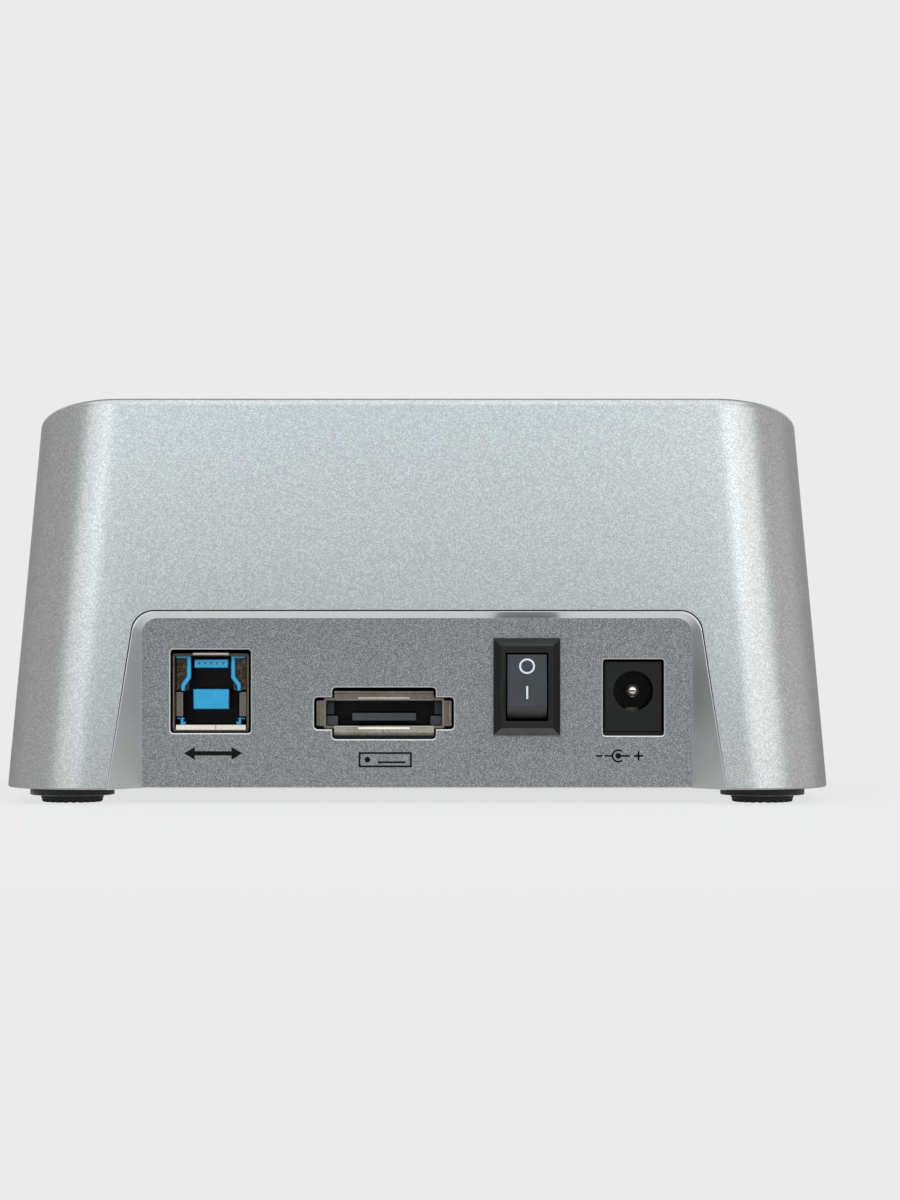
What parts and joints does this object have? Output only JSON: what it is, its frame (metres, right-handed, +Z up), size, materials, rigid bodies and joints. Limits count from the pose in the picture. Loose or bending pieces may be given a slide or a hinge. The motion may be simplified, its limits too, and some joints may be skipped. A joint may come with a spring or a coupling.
{
  "type": "hard drive docking station",
  "caption": "Tapered desktop dock that holds one bare drive upright in a flapped top slot, with data sockets, a rocker switch and a power inlet on its rear panel.",
  "frame": {"origin": "on the table, under the middle of the case", "axes": "+X along the width, +Y out of the rear panel with its sockets, +Z up"},
  "size_m": [0.1306, 0.088, 0.064],
  "materials": {
    "shell_silver": "metallic silver paint with a fine sand texture",
    "panel_silver": "metallic grey, fine grain, smooth flare",
    "dark_plastic": "fine spark texture",
    "base_plastic": "moulded, satin",
    "pad_rubber": "soft matt",
    "button_silver": "satin metallic",
    "lever_plastic": "natural acetal, smooth",
    "spring_steel": "drawn wire and turned pins",
    "screw_zinc": "zinc plated",
    "clear_plastic": "clear, polished",
    "board_mask": "green solder mask over glass laminate",
    "socket_black": "moulded, fine grain",
    "contact_gold": "gold plated",
    "connector_metal": "bright nickel plate",
    "usb_blue": "satin moulded",
    "blade_slate": "moulded",
    "inlet_black": "moulded, satin",
    "switch_black": "polished bezel and rocker",
    "wire_red": "smooth insulation",
    "header_ivory": "moulded nylon",
    "chip_black": "moulded epoxy",
    "can_silver": "drawn can",
    "ferrite_grey": "pressed powder",
    "ceramic_tan": "ceramic with tinned ends",
    "led_white": "moulded with a clear lens"
  },
  "bodies": {
    "case": {"outer_shell": "shell_silver", "rear_panel": "panel_silver", "base_plate": "base_plastic", "foot_rear_left": "pad_rubber", "foot_rear_right": "pad_rubber", "foot_front_left": "pad_rubber", "foot_front_right": "pad_rubber", "top_plate": "dark_plastic", "drive_cradle": "dark_plastic", "flap_pin": "spring_steel", "flap_spring": "spring_steel", "eject_spring": "spring_steel", "lever_pin": "spring_steel", "light_pipes": "clear_plastic", "main_board": "board_mask", "drive_socket": "socket_black", "drive_contacts": "contact_gold", "usb_shell": "connector_metal", "usb_insulator": "usb_blue", "usb_contacts": "contact_gold", "esata_shell": "connector_metal", "esata_insulator": "blade_slate", "esata_contacts": "contact_gold", "power_jack": "inlet_black", "power_pin": "connector_metal", "power_leaf": "connector_metal", "switch_body": "switch_black", "switch_terminals": "contact_gold", "switch_wires": "wire_red", "wire_header": "header_ivory", "bridge_chip": "chip_black", "flash_chip": "chip_black", "crystal": "can_silver", "capacitors": "can_silver", "inductors": "ferrite_grey", "regulators": "chip_black", "chip_parts": "ceramic_tan", "status_leds": "led_white", "board_screws": "screw_zinc", "case_screws": "screw_zinc", "cradle_screws": "screw_zinc"},
    "rocker": {"switch_rocker": "switch_black"},
    "flap": {"slot_flap": "dark_plastic"},
    "button": {"eject_button": "button_silver"},
    "lever": {"eject_lever": "lever_plastic"}
  },
  "joints": [
    {"name": "rocker_tilt", "type": "hinge", "parent": "case", "child": "rocker", "pos_m": [-0.0173, 0.03656, 0.0184], "axis": [-1, 0, 0], "range_deg": [0, 26]},
    {"name": "flap_hinge", "type": "hinge", "parent": "case", "child": "flap", "pos_m": [0, -0.01225, 0.04832], "axis": [-1, 0, 0], "range_deg": [0, 105], "stiffness_Nm_per_rad": 0.004, "springref_deg": -28.65},
    {"name": "eject_press", "type": "slide", "parent": "case", "child": "button", "axis": [0, 0, -1], "range_m": [0, 0.0035], "stiffness_N_per_m": 300, "springref_m": -0.004, "deforming": ["eject_spring"]},
    {"name": "lever_swing", "type": "hinge", "parent": "case", "child": "lever", "pos_m": [0, -0.01915, 0.02], "axis": [1, 0, 0], "range_deg": [0, 26.4]}
  ],
  "couplings": [
    {"joint": "lever_swing", "follows": "eject_press", "rad_per_m": 131.58}
  ]
}
